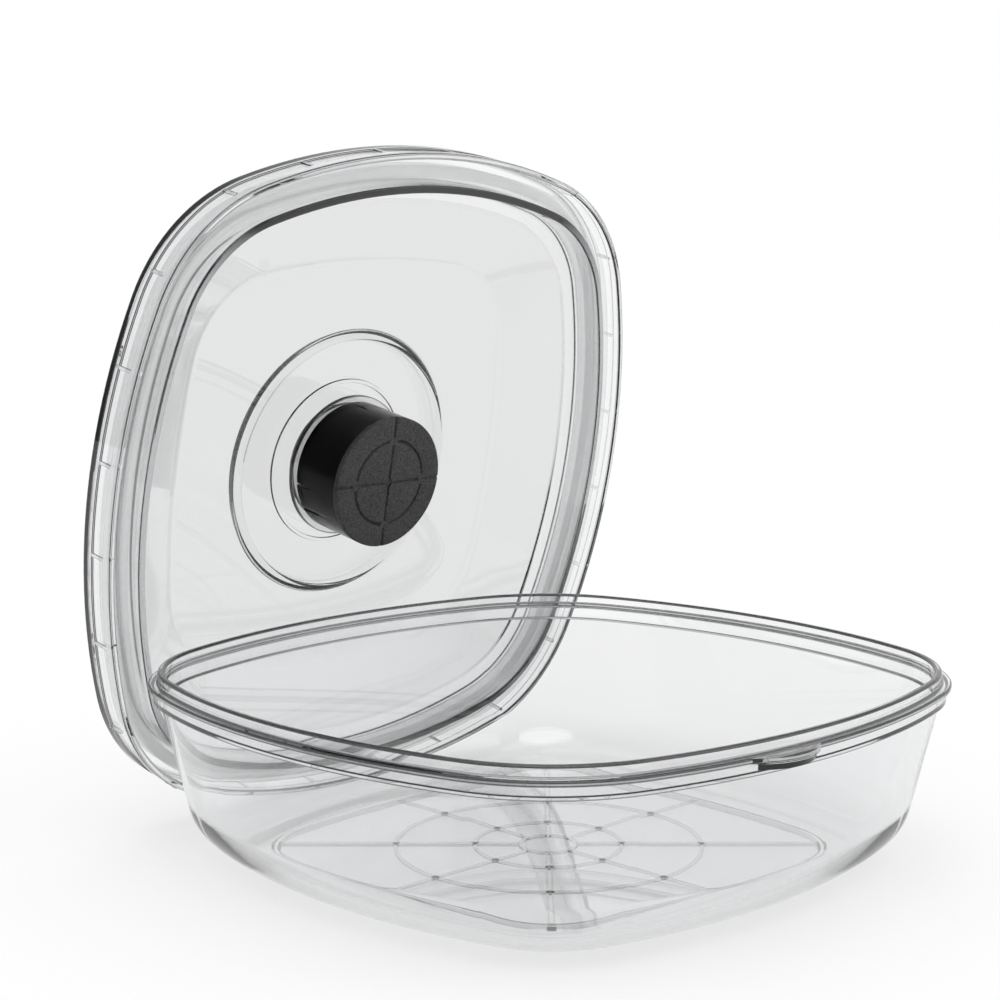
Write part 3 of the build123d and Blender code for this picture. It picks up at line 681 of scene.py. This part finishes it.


# The rounds at the skirt, grip band and plug wall are painted grey, dark grey or pale grey, as painted shade.
# The panel is tinted greyer than the skirt and channel.
lid_path = rounded_path([
    (well_radius, well_middle, 0),
    (well_radius, plateau_top, boss_round, painted_grey_face),
    (plateau_radius, plateau_top, plateau_round),
    (plateau_radius, panel_top, plateau_foot_round),
    (panel_ring_half, panel_top, 0),
    (panel_half, panel_top, panel_round),
    (shoulder_middle, shoulder_middle_top, 0),
    (shoulder_foot, plate_top, shoulder_round, wall_face, clear_face),
    (lid_half, plate_top, skirt_top_round, painted_pale_face, clear_face),
    (lid_half, grip_band_top, grip_round, painted_dark_face, painted_grey_face),
    (grip_band_half, grip_band_top, grip_round, painted_dark_face, clear_face),
    (grip_band_half, grip_band_low, grip_round, painted_pale_face, clear_face),
    (lid_half, grip_band_low, grip_round, painted_pale_face, clear_face),
    (lid_half, 0.0, lip_round, painted_pale_face, clear_face),
    (skirt_inner, 0.0, lip_round, painted_grey_face, clear_face),
    (skirt_inner, plate_low, channel_round, painted_pale_face, clear_face),
    (plug_outer, plate_low, lip_round, painted_pale_face, clear_face),
    (plug_outer, -plug_reach, lip_round, painted_band_face, painted_band_face),
    (plug_inner, -plug_reach, lip_round, painted_band_face, clear_face),
    (plug_inner, plate_low, lip_round, painted_pale_face),
    (shoulder_foot, plate_low, ceiling_round),
    (shoulder_middle, shoulder_middle_low, 0),
    (panel_half, panel_low, panel_round),
    (panel_ring_half, panel_low, 0),
    (plateau_inner, panel_low, hollow_round),
    (plateau_inner, plateau_low, hollow_round),
    (ceiling_ring_outer, plateau_low, ring_round),
    (ceiling_ring_outer, ceiling_ring_low, ring_round),
    (ceiling_ring_radius, ceiling_ring_low, ring_round),
    (ceiling_ring_radius, plateau_low, ring_round),
    (boss_outer, plateau_low, boss_round),
    (boss_outer, boss_flange_top, boss_corner_round),
    (boss_flange, boss_flange_top, boss_round, painted_grey_face),
    (boss_flange, boss_flange_low, boss_round, painted_grey_face),
    (boss_outer, boss_flange_low, boss_corner_round),
    (boss_outer, boss_end, boss_round),
    (boss_inner, boss_end, boss_round),
    (boss_inner, plateau_low, well_round),
    (well_radius, plateau_low, well_round),
    (well_radius, well_middle, 0),
])[:-1]
lid_piece = shell_mesh("lid_moulding", lid_path, lid_ring, closed=True)

sides, ribs_a_side, rib_spacing = 4, 6, 33.0
rib_width, rib_depth, rib_sink, rib_overlap = 1.2, 1.2, 0.05, 0.2
# The skirt's grip ribs are painted pale grey, as painted shade.
rib_mesh = bmesh.new()
for number in range(ribs_a_side):
    along = (number - (ribs_a_side - 1) / 2) * rib_spacing
    face_at = lid_half - lid_side_radius + math.sqrt(lid_side_radius ** 2 - along ** 2)
    add_block(rib_mesh, (face_at - rib_depth, along - rib_width / 2, grip_band_low - rib_overlap),
              (face_at - rib_sink, along + rib_width / 2, grip_band_top + rib_overlap))
merge_solids(lid_piece, repeat_round(rib_mesh, "grip_ribs", sides), painted_pale_face)

release_offset, release_hole_radius, hole_low, hole_top, hole_steps = 37.0, 2.7, 28.0, 36.0, 32
hole_mesh = bmesh.new()
add_tube(hole_mesh, release_hole_radius, 0, hole_low, hole_top, hole_steps, release_offset)
merge_solids(lid_piece, object_from(hole_mesh, "release_hole"), operation="DIFFERENCE")

# Painted shade: the plug wall's end is painted grey at its sides, turning black towards its top and bottom.
painted_band_start, painted_band_full = 64.0, 98.0
painted_band_grey, painted_band_black = np.array(tints_and_painted_shades[painted_grey_face]), np.array(tints_and_painted_shades[painted_black_face])
lid_tints_and_shades = {**tints_and_painted_shades, wall_face: (0.79, 0.792, 0.795, 1), painted_band_face: painted_band_grey}
tint_and_shade_layer = paint_tint_and_shade(lid_piece, lid_tints_and_shades)
for face in lid_piece.data.polygons:
    if face.material_index == painted_band_face:
        for corner, vertex in zip(face.loop_indices, face.vertices):
            off_middle = abs(lid_piece.data.vertices[vertex].co.y) / mm
            share = min(1.0, max(0.0, (off_middle - painted_band_start) / (painted_band_full - painted_band_start)))
            tint_and_shade_layer.data[corner].color = painted_band_grey * (1 - share) + painted_band_black * share
finish_piece(lid_piece, clear_plastic, standing, "lid", ["lid"])

# Gasket: a translucent silicone ring, moulded in one and pushed over the lid's plug wall. Two thin
# fins on its outside seal on the bowl's lip. The pump's small seals and flaps are the same silicone.
silicone_white, silicone_index, silicone_cover = (0.9, 0.91, 0.91, 1), 1.41, 0.2
clear_silicone, tree, shader = new_material("clear_silicone")
shader.inputs["Base Color"].default_value = silicone_white
shader.inputs["IOR"].default_value = silicone_index
shader.inputs["Alpha"].default_value = silicone_cover
add_haze(tree, shader, polish=0.22, haze=0.36)

gasket_inner, gasket_base, gasket_leg, gasket_fin = 112.85, 119.0, 114.6, 119.1
gasket_top, gasket_base_low, gasket_end, gasket_round, fin_round = 13.4, 11.1, 1.6, 0.4, 0.3
fin_heights, fin_rise = (6.8, 3.4), 0.9
gasket_corners = [
    (gasket_inner, gasket_top, 0), (gasket_base, gasket_top, gasket_round),
    (gasket_base, gasket_base_low, gasket_round), (gasket_leg, gasket_base_low, gasket_round),
]
for height in fin_heights:
    gasket_corners += [
        (gasket_leg, height, fin_round), (gasket_fin, height + fin_rise, fin_round),
        (gasket_fin, height, fin_round), (gasket_leg, height - fin_rise, fin_round),
    ]
gasket_corners += [
    (gasket_leg, gasket_end, gasket_round), (gasket_inner, gasket_end, fin_round),
    (gasket_inner, gasket_top, 0),
]
gasket_path = rounded_path(gasket_corners, steps=3)[:-1]
gasket_piece = shell_mesh("gasket_ring", gasket_path, parallel_ring, closed=True)
finish_piece(gasket_piece, clear_silicone, standing, "lid", ["lid_gasket"])

# Pump barrel and what sits in its end: a black glossy tube snapped on the lid's boss, and a charcoal
# spark-eroded cap pressed into it. A felt disc keeps food out of the cap's hole, a silicone flap
# lets air in only, and a silicone ring seals the barrel on the boss.
grain_span, grain_detail, grain_breakup, grain_strength = (0.35, 0.7), 6.0, 0.7, 0.5
grain_group, given, made = effect_group(
    "fine_grain",
    [("Scale", "Float"), ("High Colour", "Color"), ("Deep Colour", "Color"),
     ("Least Roughness", "Float"), ("Most Roughness", "Float")],
    [("Colour", "Color"), ("Roughness", "Float"), ("Height", "Float")],
)
grain = cloud_noise(grain_group, given["Scale"], grain_detail, grain_breakup)
grain_share = spread_out(grain_group, grain, grain_span, (0.0, 1.0))
grain_colour = mixed(grain_group, "RGBA", grain_share, given["Deep Colour"], given["High Colour"])
roughness_ends = (given["Least Roughness"], given["Most Roughness"])
grain_roughness = spread_out(grain_group, grain, (0.0, 1.0), roughness_ends)
for label, source in (("Colour", grain_colour), ("Roughness", grain_roughness), ("Height", grain)):
    grain_group.links.new(source, made[label])


def grain_material(name, high_colour, deep_colour, roughness, speck, scale, lift, plain=()):
    """A finely grained material. Plain names more sockets of its shader, with their values."""
    material, tree, shader = new_material(name)
    add_effect(tree, shader, grain_group, {
        "Scale": scale, "High Colour": high_colour, "Deep Colour": deep_colour,
        "Least Roughness": roughness - speck, "Most Roughness": roughness + speck,
    }, grain_strength, lift)
    for label, value in plain:
        shader.inputs[label].default_value = value
    return material


black_plastic = grain_material(
    "black_plastic", high_colour=(0.003, 0.003, 0.0032, 1), deep_colour=(0.001, 0.001, 0.0011, 1),
    roughness=0.2, speck=0.05, scale=2600.0, lift=0.00003, plain=[("Specular IOR Level", 0.12)])
charcoal_plastic = grain_material(
    "charcoal_plastic", high_colour=(0.085, 0.085, 0.087, 1), deep_colour=(0.008, 0.008, 0.0085, 1),
    roughness=0.62, speck=0.1, scale=1300.0, lift=0.00012)
felt = grain_material(
    "felt", high_colour=(0.09, 0.09, 0.085, 1), deep_colour=(0.04, 0.04, 0.038, 1),
    roughness=0.9, speck=0.05, scale=1800.0, lift=0.0002)
weld_distance, facet_sharp_deg = 0.000002, 34.0


def joined_copy(node, material, body):
    """A copy of a CAD piece with its facets joined, so that its rounds shade as rounds."""
    mesh = bmesh.new()
    mesh.from_mesh(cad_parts[node].data)
    bmesh.ops.remove_doubles(mesh, verts=mesh.verts, dist=weld_distance)
    data = bpy.data.meshes.new(node + "_moulding")
    mesh.to_mesh(data)
    mesh.free()
    piece = bpy.data.objects.new(node + "_piece", data)
    scene.collection.objects.link(piece)
    finish_piece(piece, material, Matrix.Identity(4), body, [node], facet_sharp_deg)


joined_copy("pump_barrel", black_plastic, "lid")
joined_copy("intake_cap", charcoal_plastic, "lid")
joined_copy("barrel_seal", clear_silicone, "lid")
joined_copy("intake_filter", felt, "lid")
joined_copy("intake_valve", clear_silicone, "lid")

# Guide collar: a black disc with a short tube, pressed into the lid's boss, that the pump's rod
# slides in. A silicone ring in it wipes the rod, and a bright steel coil on it lifts the knob.
spring_steel = grain_material(
    "spring_steel", high_colour=(0.6, 0.6, 0.59, 1), deep_colour=(0.5, 0.5, 0.5, 1),
    roughness=0.25, speck=0.05, scale=900.0, lift=0.00001, plain=[("Metallic", 1.0)])
joined_copy("guide_collar", black_plastic, "lid")
joined_copy("collar_wiper", clear_silicone, "lid")
joined_copy("return_spring", spring_steel, "lid")

# Piston and rod: a black moulded disc with a silicone ring in its groove and a silicone flap over
# its air holes, held on a black tube by one steel screw. They move in the barrel with the knob.
joined_copy("piston", black_plastic, "pump")
joined_copy("piston_seal", clear_silicone, "pump")
joined_copy("outlet_valve", clear_silicone, "pump")
joined_copy("piston_screw", spring_steel, "pump")
joined_copy("piston_rod", black_plastic, "pump")

# Pump knob: a clear moulded cap with a dished top, pushed on the rod's end. It is stowed in the well
# of the lid's plateau, and its plastic is a little greyer than the lid's.
clear_knob_plastic = clear_material(
    "clear_knob_plastic", tint=(0.96, 0.97, 0.97, 1), polish=0.03, haze=0.08,
    depth_tint=(0.6, 0.62, 0.63, 1), depth_density=60.0)
joined_copy("pump_knob", clear_knob_plastic, "pump")

# Release valve: a silicone plug in the plateau's small hole, with a hard clear cap moulded round
# its head. Pulling the cap up lets air back into the bowl.
joined_copy("release_plug", clear_silicone, "release")
joined_copy("release_knob", clear_knob_plastic, "release")
